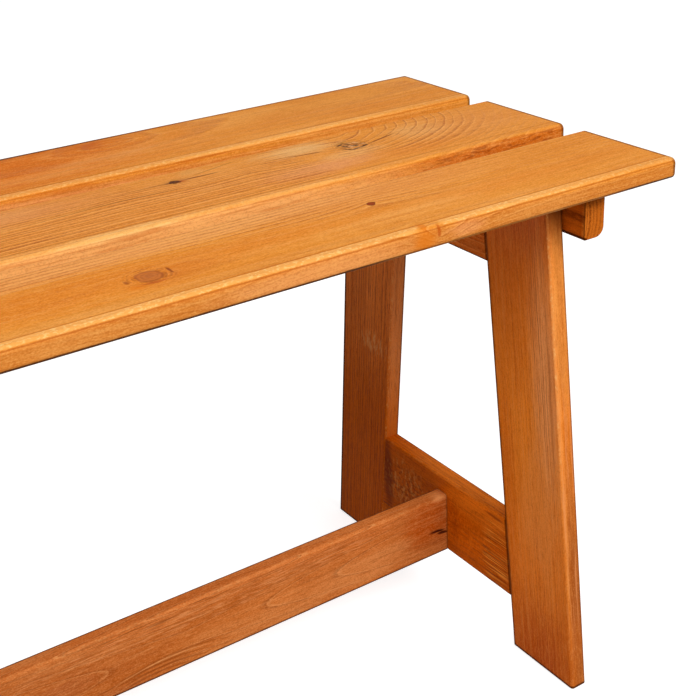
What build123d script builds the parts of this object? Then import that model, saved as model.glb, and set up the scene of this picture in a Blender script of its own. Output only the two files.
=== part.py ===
# A trestle bench of planed softwood boards. Three slats make the seat. They lie on two splayed end frames
# and are tied by cross battens underneath. One low stretcher runs from end frame to end frame.
# X runs along the seat, Y from front to back and Z up. The origin is on the floor under the bench's middle.
# Lengths are in millimetres.
from build123d import *
from math import cos, radians, tan
import os

os.makedirs("parts", exist_ok=True)

# Seat
seat_length = 1200.0
seat_height = 450.0  # floor to the slats' top faces
slat_width = 101.0
slat_thickness = 16.0
slat_gap = 21.0  # open space between two slats
slat_edge_radius = 4.5  # rounding of the long edges
slat_end_easing = 1.0  # sanded edge round the ends

# End frames: legs and rails are cut from one size of board
board_width = 77.0
board_thickness = 16.0
board_edge_radius = 3.0
frame_inset = 92.0  # seat's end to the frame's inner face
leg_splay = 6.4  # degrees that a leg leans from upright
leg_offset = 3.5  # middle slat's long edge to the leg's inner corner under the slats
foot_easing = 1.2  # bevel round the foot
lower_rail_rise = 50.0  # floor to the lower rail's underside

# Stretcher
stretcher_height = 61.0
stretcher_thickness = 16.0
stretcher_edge_radius = 3.0

# Battens
batten_height = 36.0
batten_thickness = 20.0
batten_inset = 15.5  # seat's long edge to the batten's end
batten_round_radius = 8.0  # lower edge that faces outwards
batten_edge_radius = 2.0
batten_end_easing = 1.0

# Dowels between legs and rails
dowel_diameter = 8.0
dowel_length = 40.0
dowel_clearance = 0.1  # round the dowel, for glue
dowel_end_gap = 1.0  # past each end of the dowel
dowel_bevel = 1.0
dowel_height_shares = (0.2, 0.6)  # of the board's width, up from the rail's underside

# Screws
screw_clearance = 0.1  # round every screw
screw_sink = 0.4  # head below the wood's face
screw_rim = 0.5  # straight rim of a countersunk head
slat_screw_diameter = 4.0
slat_screw_head = 8.0
slat_screw_length = 30.0
slat_screw_spacing_share = 0.5  # between the two screws of one slat, of its width
slat_screw_counterbore = 16.0  # depth of the wide hole in the batten's underside
frame_screw_diameter = 4.0
frame_screw_head = 8.0
frame_screw_length = 30.0
frame_screw_spacing = 46.0  # between the two screws of one leg
stretcher_screw_diameter = 5.0
stretcher_screw_head = 10.0
stretcher_screw_length = 60.0
stretcher_screw_spacing = 30.0
recess_width_share = 0.14  # cross recess, as shares of the head's diameter
recess_length_share = 0.6
recess_depth_share = 0.22

cut_overrun = 2.0  # how far a cutter runs past the face that it opens

# Places that follow from the sizes
slat_pitch = slat_width + slat_gap
seat_depth = slat_width + 2 * slat_pitch
seat_underside = seat_height - slat_thickness
frame_inner_x = seat_length / 2 - frame_inset
frame_outer_x = frame_inner_x + board_thickness
frame_middle_x = (frame_inner_x + frame_outer_x) / 2
splay_slope = tan(radians(leg_splay))
level_board_width = board_width / cos(radians(leg_splay))
leg_top_y = slat_width / 2 + leg_offset
top_rail_rise = seat_underside - board_width
batten_x = frame_outer_x + batten_thickness / 2
batten_length = seat_depth - 2 * batten_inset
batten_middle_z = seat_underside - batten_height / 2
batten_underside = seat_underside - batten_height
stretcher_z = lower_rail_rise + stretcher_height / 2


def leg_inner_y(z):
    return leg_top_y + (seat_underside - z) * splay_slope


def leg_outer_y(z):
    return leg_inner_y(z) + level_board_width


def both(spacing):
    return (-spacing / 2, spacing / 2)


def screw_profile(diameter, head, length):
    # Half section of a countersunk screw: the head's face is at Z 0 and the point is up
    cone = (head - diameter) / 2
    return [
        (0, 0),
        (head / 2, 0),
        (head / 2, screw_rim),
        (diameter / 2, screw_rim + cone),
        (diameter / 2, length - diameter),
        (0, length),
    ]


def turned(points):
    outline = Polyline(*[(r, 0, z) for r, z in points], close=True)
    return revolve(make_face(outline), axis=Axis.Z)


def screw(diameter, head, length):
    body = turned(screw_profile(diameter, head, length))
    depth = head * recess_depth_share
    arm = (head * recess_length_share, head * recess_width_share, 2 * depth)
    across = (arm[1], arm[0], arm[2])
    return body - Box(*arm) - Box(*across)


def screw_hole(diameter, head, length, mouth):
    # The room for one screw, open for the length of the mouth below its head
    wide = 2 * screw_clearance
    room = turned(screw_profile(diameter + wide, head + wide, length + wide))
    entry = Cylinder((head + wide) / 2, mouth, align=(Align.CENTER, Align.CENTER, Align.MAX))
    return room + entry


def slat_screw_places(x):
    return [
        Pos(x, slat * slat_pitch + side, batten_underside + slat_screw_counterbore)
        for slat in (-1, 0, 1)
        for side in both(slat_width * slat_screw_spacing_share)
    ]


def frame_screw_places():
    leg_middle = leg_inner_y(batten_middle_z) + level_board_width / 2
    ys = [end * leg_middle + side for end in (-1, 1) for side in both(frame_screw_spacing)]
    head_x = frame_outer_x + batten_thickness - screw_sink
    return [Pos(head_x, y, batten_middle_z) * Rot(0, -90, 0) for y in ys + [0]]


def stretcher_screw_places():
    head_x = frame_outer_x - screw_sink
    return [Pos(head_x, 0, stretcher_z + side) * Rot(0, -90, 0) for side in both(stretcher_screw_spacing)]


def dowel_places(rail_rise):
    places = []
    for share in dowel_height_shares:
        z = rail_rise + share * board_width
        for end in (-1, 1):
            places.append(Pos(frame_middle_x, end * leg_inner_y(z), z) * Rot(90, 0, 0))
    return places


def placed(places, shape):
    return [place * shape for place in places]


slat_screw = screw(slat_screw_diameter, slat_screw_head, slat_screw_length)
frame_screw = screw(frame_screw_diameter, frame_screw_head, frame_screw_length)
stretcher_screw = screw(stretcher_screw_diameter, stretcher_screw_head, stretcher_screw_length)
slat_screw_hole = screw_hole(
    slat_screw_diameter, slat_screw_head, slat_screw_length, slat_screw_counterbore + cut_overrun
)
frame_screw_hole = screw_hole(
    frame_screw_diameter, frame_screw_head, frame_screw_length, screw_sink + cut_overrun
)
stretcher_screw_hole = screw_hole(
    stretcher_screw_diameter, stretcher_screw_head, stretcher_screw_length, screw_sink + cut_overrun
)
dowel = Cylinder(dowel_diameter / 2, dowel_length)
dowel = chamfer(dowel.edges().filter_by(GeomType.CIRCLE), dowel_bevel)
dowel_hole = Cylinder(dowel_diameter / 2 + dowel_clearance, dowel_length + 2 * dowel_end_gap)

slat_screws_right = slat_screw_places(batten_x)
slat_screws_centre = slat_screw_places(0)
slat_screws_left = slat_screw_places(-batten_x)


def rounded_along(solid, axis, radius):
    return fillet(solid.edges().filter_by(axis), radius)


def seat_slat(y):
    board = Pos(0, y, seat_height - slat_thickness / 2) * Box(seat_length, slat_width, slat_thickness)
    board = rounded_along(board, Axis.X, slat_edge_radius)
    board = fillet(board.faces().filter_by(Axis.X).edges(), slat_end_easing)
    places = slat_screws_left + slat_screws_centre + slat_screws_right
    return board - placed([p for p in places if abs(p.position.Y - y) < slat_width / 2], slat_screw_hole)


def batten(x):
    # The lower edge that faces +X is the well-rounded one
    corner = (batten_thickness / 2, -batten_height / 2)
    section = Rectangle(batten_thickness, batten_height)
    section = fillet(section.vertices().sort_by_distance(corner)[1:], batten_edge_radius)
    section = fillet(section.vertices().sort_by_distance(corner)[0], batten_round_radius)
    bar = extrude(Plane.XZ * section, amount=batten_length / 2, both=True)
    bar = fillet(bar.faces().filter_by(Axis.Y).edges(), batten_end_easing)
    bar = Pos(x, 0, batten_middle_z) * bar
    return bar - placed(slat_screw_places(x), slat_screw_hole)


def frame_board(outline, direction):
    # A board with its face outline in the YZ plane and its edges rounded along one direction
    face = make_face(Polyline(*[(0, y, z) for y, z in outline], close=True))
    board = Pos(frame_inner_x, 0, 0) * extrude(face, amount=board_thickness, dir=(1, 0, 0))
    long_edges = [e for e in board.edges() if abs(e.tangent_at(0.5).dot(direction)) > cos(radians(1))]
    return fillet(long_edges, board_edge_radius)


def leg(end):
    # end is -1 for the front leg and 1 for the back leg
    outline = [
        (end * leg_outer_y(0), 0),
        (end * leg_inner_y(0), 0),
        (end * leg_inner_y(seat_underside), seat_underside),
        (end * leg_outer_y(seat_underside), seat_underside),
    ]
    board = frame_board(outline, Vector(0, -end * splay_slope, 1).normalized())
    board = chamfer(board.faces().sort_by(Axis.Z)[0].edges(), foot_easing)
    board -= placed(dowel_places(top_rail_rise) + dowel_places(lower_rail_rise), dowel_hole)
    return board - placed(frame_screw_places(), frame_screw_hole)


def rail(rise):
    top = rise + board_width
    outline = [
        (-leg_inner_y(rise), rise),
        (leg_inner_y(rise), rise),
        (leg_inner_y(top), top),
        (-leg_inner_y(top), top),
    ]
    board = frame_board(outline, Vector(0, 1, 0))
    return board - placed(dowel_places(rise), dowel_hole)


def stretcher():
    bar = Pos(0, 0, stretcher_z) * Box(2 * frame_inner_x, stretcher_thickness, stretcher_height)
    bar = rounded_along(bar, Axis.X, stretcher_edge_radius)
    right_holes = placed(stretcher_screw_places(), stretcher_screw_hole)
    return bar - right_holes - [mirror(hole, about=Plane.YZ) for hole in right_holes]


# Pieces of the right-hand end; the left-hand end is their mirror image
right_end = {
    "leg_front": leg(-1),
    "leg_back": leg(1),
    "top_rail": rail(top_rail_rise) - placed(frame_screw_places(), frame_screw_hole),
    "lower_rail": rail(lower_rail_rise) - placed(stretcher_screw_places(), stretcher_screw_hole),
    "batten": batten(batten_x) - placed(frame_screw_places(), frame_screw_hole),
    "top_rail_dowels": Compound(children=placed(dowel_places(top_rail_rise), dowel)),
    "lower_rail_dowels": Compound(children=placed(dowel_places(lower_rail_rise), dowel)),
    "slat_screws": Compound(children=placed(slat_screws_right, slat_screw)),
    "frame_screws": Compound(children=placed(frame_screw_places(), frame_screw)),
    "stretcher_screws": Compound(children=placed(stretcher_screw_places(), stretcher_screw)),
}

for name, piece in right_end.items():
    export_step(piece, f"parts/{name}_right.step")
    export_step(mirror(piece, about=Plane.YZ), f"parts/{name}_left.step")

# Pieces that the bench has once
for name, y in (("front", -slat_pitch), ("middle", 0), ("back", slat_pitch)):
    export_step(seat_slat(y), f"parts/seat_slat_{name}.step")
export_step(batten(0), "parts/batten_centre.step")
export_step(Compound(children=placed(slat_screws_centre, slat_screw)), "parts/slat_screws_centre.step")
export_step(stretcher(), "parts/stretcher.step")
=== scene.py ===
import math

import bpy
from mathutils import Matrix, Quaternion, Vector


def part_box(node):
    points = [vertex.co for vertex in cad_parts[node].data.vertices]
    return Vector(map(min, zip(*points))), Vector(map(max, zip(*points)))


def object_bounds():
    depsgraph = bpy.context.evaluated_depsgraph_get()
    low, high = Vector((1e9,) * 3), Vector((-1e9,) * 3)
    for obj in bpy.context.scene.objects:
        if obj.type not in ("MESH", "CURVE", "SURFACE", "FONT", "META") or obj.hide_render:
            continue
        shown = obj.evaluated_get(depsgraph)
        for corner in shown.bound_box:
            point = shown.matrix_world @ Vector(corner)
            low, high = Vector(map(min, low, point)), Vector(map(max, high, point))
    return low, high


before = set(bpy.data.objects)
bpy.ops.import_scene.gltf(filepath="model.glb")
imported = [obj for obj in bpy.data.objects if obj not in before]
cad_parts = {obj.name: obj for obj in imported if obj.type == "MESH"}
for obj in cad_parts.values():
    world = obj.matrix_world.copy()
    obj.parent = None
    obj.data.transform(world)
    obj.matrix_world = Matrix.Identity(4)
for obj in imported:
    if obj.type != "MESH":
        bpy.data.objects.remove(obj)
cadBox = [list(corner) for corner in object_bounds()]
print("Frame loaded:", len(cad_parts), "nodes")


# Small helpers for building node trees

def newNode(tree, kind, **settings):
    made = tree.nodes.new("ShaderNode" + kind)
    for name, value in settings.items():
        setattr(made, name, value)
    return made


def feed(tree, socket, value):
    # A socket takes a plain value, or a link from another node's output
    if isinstance(value, bpy.types.NodeSocket):
        tree.links.new(value, socket)
    else:
        socket.default_value = value


def calc(tree, operation, *values, kind="Math", output=0):
    made = newNode(tree, kind, operation=operation)
    for socket, value in zip(made.inputs, values):
        feed(tree, socket, value)
    return made.outputs[output]


def vectorCalc(tree, operation, *values, output=0):
    return calc(tree, operation, *values, kind="VectorMath", output=output)


def times(tree, first, second):
    return calc(tree, "MULTIPLY", first, second)


def less(tree, first, second):
    return calc(tree, "SUBTRACT", first, second)


def distance(tree, *offsets):
    squares = times(tree, offsets[-1], offsets[-1])
    for offset in reversed(offsets[:-1]):
        squares = calc(tree, "MULTIPLY_ADD", offset, offset, squares)
    return calc(tree, "SQRT", squares)


def swayed(tree, value, wave, amount):
    # Moves the value either way with a noise, which runs from 0 to 1
    return calc(tree, "MULTIPLY_ADD", less(tree, wave, 0.5), amount, value)


def ramp(tree, value, start, end, low=0.0, high=1.0):
    # Smooth step from low to high while the value goes from start to end
    made = newNode(tree, "MapRange", interpolation_type="SMOOTHSTEP")
    for socket, item in zip(made.inputs, (value, start, end, low, high)):
        feed(tree, socket, item)
    return made.outputs[0]


def blend(tree, amount, first, second):
    made = newNode(tree, "Mix", data_type="RGBA")
    for index, value in ((0, amount), (6, first), (7, second)):  # the colours are its sockets 6 and 7
        feed(tree, made.inputs[index], value)
    return made.outputs[2]


def stained(tree, color, tone, mask, share):
    return blend(tree, times(tree, mask, share), color, tone)


def noise(tree, vector, turns, detail, rough, output="Fac"):
    # Turns: how often it waves in a metre, along, across and through the board
    made = newNode(tree, "TexNoise", noise_dimensions="3D")
    feed(tree, made.inputs["Vector"], vectorCalc(tree, "MULTIPLY", vector, turns))
    made.inputs["Scale"].default_value = 1.0
    made.inputs["Detail"].default_value = detail
    made.inputs["Roughness"].default_value = rough
    return made.outputs[output]


def split(tree, vector):
    made = newNode(tree, "SeparateXYZ")
    feed(tree, made.inputs[0], vector)
    return made.outputs[0], made.outputs[1], made.outputs[2]


def newGroup(name, inputs, outputs):
    # Each list of sockets is one text. Sockets are numbers, apart from these vectors and colours
    kinds = dict.fromkeys(("Vector", "Centre", "Half Size", "Scale"), "Vector")
    kinds.update(dict.fromkeys(("Early", "Late", "Soaked", "Dry", "Color"), "Color"))
    group = bpy.data.node_groups.new(name, "ShaderNodeTree")
    for way, labels in (("INPUT", inputs), ("OUTPUT", outputs)):
        for label in labels.split(", "):
            kind = "NodeSocket" + kinds.get(label, "Float")
            group.interface.new_socket(label, in_out=way, socket_type=kind)
    return group, group.nodes.new("NodeGroupInput").outputs, group.nodes.new("NodeGroupOutput").inputs


def place(tree, group, **values):
    made = tree.nodes.new("ShaderNodeGroup")
    made.node_tree = group
    for name, value in values.items():
        feed(tree, made.inputs[name.replace("_", " ")], value)
    return made.outputs


def emptyTree(holder):
    holder.use_nodes = True
    holder.node_tree.nodes.clear()
    return holder.node_tree


def srgb(red, green, blue):
    # A colour as it is read off a screen, 0 to 255, turned into the linear value that a shader takes
    def linear(value):
        value = value / 255
        return value / 12.92 if value <= 0.04045 else ((value + 0.055) / 1.055) ** 2.4
    return (linear(red), linear(green), linear(blue), 1.0)


# Shader node groups that the boards share. Their vectors run along, across and through the board

# The wood's noises: turns in a metre, then detail and roughness
waves = dict(
    slow=((1.6, 8, 8), 2, 0.45), ripple=((10, 70, 70), 3, 0.6), knotEdge=((90, 150, 150), 3, 0.6),
    markEdge=((50, 260, 260), 3, 0.65), breaks=((140, 420, 420), 2, 0.6), flecks=((700, 1200, 1200), 1, 0.5),
    fine=((90, 850, 850), 2, 0.6), streaks=((9, 240, 240), 3, 0.6), soaking=((6, 26, 26), 3, 0.55),
    specks=((330, 520, 520), 2, 0.6), strandBend=((40, 40, 40), 2, 0.5),
)
growth = dict(turnSoftness=0.02, crestRound=0.0006, yearWave=0.31, yearDetail=2.0, rippleShare=100.0)


def makeRingGroup():
    # Age: in which year of the tree's life the wood at this point grew. The taper turns round at the crest. A
    # turn share above zero bends the lines into arcs to the right of a place along the board
    group, given, result = newGroup(
        "growthRings",
        "Vector, Pith Across, Pith Depth, Ring Width, Wander, Taper, Crest, Turn At, Turn Share, Uneven, "
        "First Year",
        "Age",
    )
    slowAcross, slowDepth, _ = split(group, noise(group, given["Vector"], *waves["slow"], output="Color"))
    along, across, depth = split(group, given["Vector"])
    turn = calc(group, "SMOOTH_MAX", less(group, along, given["Turn At"]), 0.0, growth["turnSoftness"])
    turn = times(group, turn, given["Turn Share"])
    across = swayed(group, less(group, across, given["Pith Across"]), slowAcross, given["Wander"])
    depth = swayed(group, less(group, depth, given["Pith Depth"]), slowDepth, given["Wander"])
    fromCrest = less(group, along, given["Crest"])
    fromCrest = calc(group, "SQRT", calc(group, "MULTIPLY_ADD", fromCrest, fromCrest, growth["crestRound"]))
    radius = calc(group, "MULTIPLY_ADD", fromCrest, given["Taper"], distance(group, turn, across, depth))
    age = calc(group, "ADD", calc(group, "DIVIDE", radius, given["Ring Width"]), given["First Year"])
    years = newNode(group, "TexNoise", noise_dimensions="1D")  # good and bad years: rings of uneven width
    feed(group, years.inputs["W"], times(group, age, growth["yearWave"]))
    years.inputs["Scale"].default_value = 1.0
    years.inputs["Detail"].default_value = growth["yearDetail"]
    age = swayed(group, age, years.outputs[0], given["Uneven"])
    ripple = noise(group, given["Vector"], *waves["ripple"])
    age = swayed(group, age, ripple, times(group, given["Wander"], growth["rippleShare"]))
    feed(group, result["Age"], age)
    return group


# Places are shares of the knot's radius. Pairs are where a rise starts and ends
knotShape = dict(
    broken=(0.36, 0.56), core=(1.05, 0.9), rimAt=0.95, rimFade=(0.24, 0.0), ringCount=3.3,
    ringEdge=(0.35, 0.8), haloEnd=(2.1, 1.2), haloStart=(0.95, 1.1),
)


def makeKnotGroup():
    # Rings bulge round a knot. Its rim and halo are broken in places
    group, given, result = newGroup(
        "knotFlow",
        "Vector, Age, Along, Across, Radius, Stretch, Ragged, Pull, Reach, Flow Left, Flow Right, Flow Up, "
        "Flow Down",
        "Age, Core, Rim, Rings, Halo",
    )
    along, across, _ = split(group, given["Vector"])
    rough = noise(group, given["Vector"], *waves["knotEdge"], output="Color")
    roughAlong, roughAcross, gaps = split(group, rough)
    shake = times(group, given["Radius"], given["Ragged"])
    along = less(group, along, given["Along"])
    across = less(group, across, given["Across"])
    alongRough = swayed(group, calc(group, "DIVIDE", along, given["Stretch"]), roughAlong, shake)
    near = distance(group, alongRough, swayed(group, across, roughAcross, shake))

    def flow(offset, before, after):
        # The rings' bulge is longer or shorter on each side of the knot
        positive = calc(group, "DIVIDE", calc(group, "MAXIMUM", offset, 0.0), given["Flow " + after])
        negative = calc(group, "DIVIDE", calc(group, "MINIMUM", offset, 0.0), given["Flow " + before])
        return calc(group, "ADD", positive, negative)

    far = distance(group, flow(along, "Left", "Right"), flow(across, "Down", "Up"))
    fade = calc(group, "EXPONENT", times(group, calc(group, "DIVIDE", far, given["Reach"]), -1.0))
    feed(group, result["Age"], less(group, given["Age"], times(group, fade, given["Pull"])))
    share = calc(group, "DIVIDE", near, given["Radius"])
    broken = ramp(group, gaps, *knotShape["broken"])
    feed(group, result["Core"], ramp(group, share, *knotShape["core"]))
    fromRim = calc(group, "ABSOLUTE", less(group, share, knotShape["rimAt"]))
    feed(group, result["Rim"], times(group, ramp(group, fromRim, *knotShape["rimFade"]), broken))
    rings = calc(group, "FRACT", times(group, share, knotShape["ringCount"]))
    rings = ramp(group, rings, *knotShape["ringEdge"])
    feed(group, result["Rings"], rings)
    inner, outer = [ramp(group, share, *knotShape[name]) for name in ("haloStart", "haloEnd")]
    halo = times(group, rings, times(group, outer, inner))
    feed(group, result["Halo"], times(group, halo, broken))
    return group


def makeSpotGroup():
    # A stain, scar or crack with ragged edges: an ellipsoid round a centre, sloped or bent along the grain
    group, given, result = newGroup(
        "spot", "Vector, Rough, Centre, Half Size, Slope, Bend, Ragged, Softness", "Mask")
    offset = vectorCalc(group, "SUBTRACT", given["Vector"], given["Centre"])
    along, across, depth = split(group, offset)
    lift = calc(group, "MULTIPLY_ADD", along, given["Bend"], given["Slope"])
    across = less(group, across, times(group, lift, along))
    joined = newNode(group, "CombineXYZ")
    for socket, value in zip(joined.inputs, (along, across, depth)):
        feed(group, socket, value)
    share = vectorCalc(group, "DIVIDE", joined.outputs[0], given["Half Size"])
    edge = swayed(group, vectorCalc(group, "LENGTH", share, output="Value"), given["Rough"], given["Ragged"])
    feed(group, result["Mask"], ramp(group, edge, 1.0, less(group, 1.0, given["Softness"])))
    return group


# Pairs are where a rise starts and ends. Late wood lies at the end of each year
grainShape = dict(
    lateStart=(1.0, 0.25), lateEnd=(0.0, 0.12), yearSpread=-0.3, broken=(0.40, 0.60, 1.0, 0.5),
    spring=(0.62, 0.1), springShare=0.65, soaked=(0.48, 0.7), dried=(0.5, 0.28), darkFibre=(0.5, 0.72),
    paleFibre=(0.5, 0.28),
)


def makeFinishGroup():
    # Late wood takes more stain than early wood, with fibres, flecks and uneven soaking over it
    group, given, result = newGroup(
        "stainedGrain",
        "Vector, Age, Early, Late, Soaked, Dry, Contrast, Line Width, Fibre, Fleck, Mottle",
        "Color, Lines, Fibres",
    )
    part = calc(group, "FRACT", given["Age"])
    fromEnd = calc(group, "DIVIDE", less(group, 1.0, part), given["Line Width"])
    late = [ramp(group, fromEnd, *grainShape[name]) for name in ("lateStart", "lateEnd")]
    year = newNode(group, "TexWhiteNoise", noise_dimensions="1D")
    feed(group, year.inputs["W"], calc(group, "FLOOR", given["Age"]))
    strength = calc(group, "MULTIPLY_ADD", year.outputs["Value"], grainShape["yearSpread"], 1.0)
    flecks, fine, streaks, soaking, breaks = [
        noise(group, given["Vector"], *waves[name])
        for name in ("flecks", "fine", "streaks", "soaking", "breaks")
    ]
    strength = times(group, strength, ramp(group, breaks, *grainShape["broken"]))
    lines = times(group, times(group, *late), strength)
    spring = ramp(group, calc(group, "DIVIDE", part, given["Line Width"]), *grainShape["spring"])
    spring = times(group, spring, given["Contrast"])
    color = stained(group, given["Early"], given["Dry"], spring, grainShape["springShare"])
    color = stained(group, color, given["Late"], lines, given["Contrast"])
    soaked, dried = [ramp(group, soaking, *grainShape[name]) for name in ("soaked", "dried")]
    color = stained(group, color, given["Soaked"], soaked, given["Mottle"])
    color = stained(group, color, given["Dry"], dried, given["Mottle"])
    for grain, share in ((streaks, given["Fibre"]), (fine, given["Fibre"]), (flecks, given["Fleck"])):
        color = stained(group, color, given["Late"], ramp(group, grain, *grainShape["darkFibre"]), share)
        color = stained(group, color, given["Dry"], ramp(group, grain, *grainShape["paleFibre"]), share)
    feed(group, result["Color"], color)
    feed(group, result["Lines"], lines)
    feed(group, result["Fibres"], calc(group, "ADD", fine, streaks))
    return group


# Places are shares of the worn band's width. Pairs are where a rise starts and ends
wearShape = dict(
    sideSway=0.35, side=(1.05, 0.92), faceSway=0.8, face=(1.3, 0.8), specks=(0.5, 0.66), sideBorderAt=1.08,
    sideBorder=(0.12, 0.03), faceBorderAt=1.75, faceBorder=(0.55, 0.15), shadeSpreadSway=0.5, gather=(1.25, 0.95),
)


def makeArrisGroup():
    # One long corner is rubbed pale. The two corners beside it, which face away from the light, are darkened
    # with painted shade
    group, given, result = newGroup(
        "arrisWear",
        "Vector, Rough, Half Width, Half Thickness, Across Side, Through Side, Band Across, Band Through, "
        "Gather, Behind",
        "Pale, Specks, Border, Gathered",
    )
    _, across, depth = split(group, given["Vector"])
    across = times(group, across, given["Across Side"])
    depth = times(group, depth, given["Through Side"])
    fromSide = calc(group, "DIVIDE", less(group, given["Half Width"], across), given["Band Across"])
    fromFace = calc(group, "DIVIDE", less(group, given["Half Thickness"], depth), given["Band Through"])
    inSide = ramp(group, swayed(group, fromSide, given["Rough"], wearShape["sideSway"]), *wearShape["side"])
    inFace = ramp(group, swayed(group, fromFace, given["Rough"], wearShape["faceSway"]), *wearShape["face"])
    pale = times(group, inSide, inFace)
    feed(group, result["Pale"], pale)
    specks = noise(group, given["Vector"], *waves["specks"])
    feed(group, result["Specks"], times(group, ramp(group, specks, *wearShape["specks"]), pale))

    def border(reach, at, fade, within):
        near = ramp(group, calc(group, "ABSOLUTE", less(group, reach, wearShape[at])), *wearShape[fade])
        return times(group, near, within)

    borders = (border(fromSide, "sideBorderAt", "sideBorder", inFace),
               border(fromFace, "faceBorderAt", "faceBorder", inSide))
    feed(group, result["Border"], calc(group, "MAXIMUM", *borders))
    # Painted shade: the two corners beside the pale corner are darkened, scaled by Behind on the back side
    toSide = less(group, given["Half Width"], calc(group, "ABSOLUTE", across))
    toFace = less(group, given["Half Thickness"], calc(group, "ABSOLUTE", depth))
    toCorner = calc(group, "DIVIDE", distance(group, toSide, toFace), given["Gather"])
    toCorner = swayed(group, toCorner, given["Rough"], wearShape["shadeSpreadSway"])
    beside = calc(group, "LESS_THAN", times(group, across, depth), 0.0)
    behind = calc(group, "LESS_THAN", across, 0.0)
    share = calc(group, "MULTIPLY_ADD", behind, less(group, given["Behind"], 1.0), 1.0)
    gathered = times(group, ramp(group, toCorner, *wearShape["gather"]), times(group, beside, share))
    feed(group, result["Gathered"], gathered)
    return group


strandShape = dict(noise=(2, 0.55), edge=(0.50, 0.63))


def makeStrandGroup():
    # Torn or shining strands that lie across the growth lines
    group, given, result = newGroup("strands", "Vector, Scale, Bend", "Mask")
    bent = noise(group, given["Vector"], *waves["strandBend"], output="Color")
    shifted = vectorCalc(group, "MULTIPLY_ADD", bent, given["Bend"], given["Vector"])
    grain = noise(group, shifted, given["Scale"], *strandShape["noise"])
    feed(group, result["Mask"], ramp(group, grain, *strandShape["edge"]))
    return group


ringGroup = makeRingGroup()
knotGroup = makeKnotGroup()
spotGroup = makeSpotGroup()
finishGroup = makeFinishGroup()
arrisGroup = makeArrisGroup()
strandGroup = makeStrandGroup()
print("Wood node groups made")


# Stain tones, as they show on lit wood

def tones(early, late, soaked, dry):
    return dict(early=srgb(*early), late=srgb(*late), soaked=srgb(*soaked), dry=srgb(*dry))


honey = tones(early=(230, 143, 48), late=(170, 80, 12), soaked=(216, 118, 22), dry=(248, 178, 96))
amber = tones(early=(240, 130, 38), late=(168, 76, 10), soaked=(208, 98, 12), dry=(240, 150, 74))
cinnamon = tones(early=(206, 112, 46), late=(134, 58, 14), soaked=(182, 86, 20), dry=(236, 158, 92))
russet = tones(early=(192, 86, 4), late=(106, 38, 0), soaked=(148, 60, 0), dry=(204, 102, 18))

knotBrown = srgb(190, 104, 46)
knotDark = srgb(100, 42, 2)
charBlack = srgb(56, 18, 0)
crackBrown = srgb(128, 60, 6)
paleStraw = srgb(226, 166, 90)
rosyDry = srgb(246, 172, 104)
rustRed = srgb(186, 76, 12)
burntRed = srgb(124, 40, 6)
deepOrange = srgb(224, 118, 18)
arcBrown = srgb(146, 70, 22)
pitchRed = srgb(60, 8, 4)
rubbedPale = srgb(252, 208, 132)
# Painted shade for corners and edges turned away from the light, also used for the darker end, foot and joint
# lines
shadeAndEdgeBrown = srgb(60, 22, 2)

legLean = math.radians(6.4)  # from upright
slatEdge = 0.0505  # from a slat's middle to its long edge
frameEdge = 0.0385  # from the middle of a leg or rail to its long edge
face = 0.008  # from a board's middle to its face


def mark(at, half, share, rim, tone=None, **more):
    # A place on a board: its centre and half size, how strong it is, how ragged and how soft its rim is
    ragged, soft = rim
    return dict(at=at, half=half, share=share, ragged=ragged, soft=soft, tone=tone, **more)


darkEnd = mark((0.5992, 0, face), (0.003, 0.2, 0.03), 0.6, (0.4, 0.5), shadeAndEdgeBrown)
# darkBackCorner: painted shade along the back top edge of the front and middle slats
darkBackCorner = mark((0, 0.0495, face), (2.0, 0.003, 0.006), 0.12, (0.5, 0.5), shadeAndEdgeBrown)

# One dictionary for each board. Places are in metres from its middle: along the grain, across and through.
# The pale corner is named by its sides across and through. Tints lie under the growth lines, spots and
# strands over them. Lines are weaker where they are faded and narrower where they are thin. The pale corner
# is less rubbed where it is kept. The painted shade in the two corners beside it is weaker where a corner is
# unshaded

plainBoard = dict(  # what holds where a board's own dictionary doesn't say otherwise
    uneven=2.4, crest=-9.0, turnAt=0.0, turnShare=0.0, firstYear=0.0, lineWidth=0.6, fibre=0.3, mottle=0.4,
    paleCorner=(-1, 1), band=(0.002, 0.002), border=0.0, gathered=0.9, gather=0.0026, behind=1.0,
    endShare=0.5, foot=False, knots=[], tints=[], spots=[], strands=[], faded=[], thin=[], kept=[], unshaded=[],
)

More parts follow.
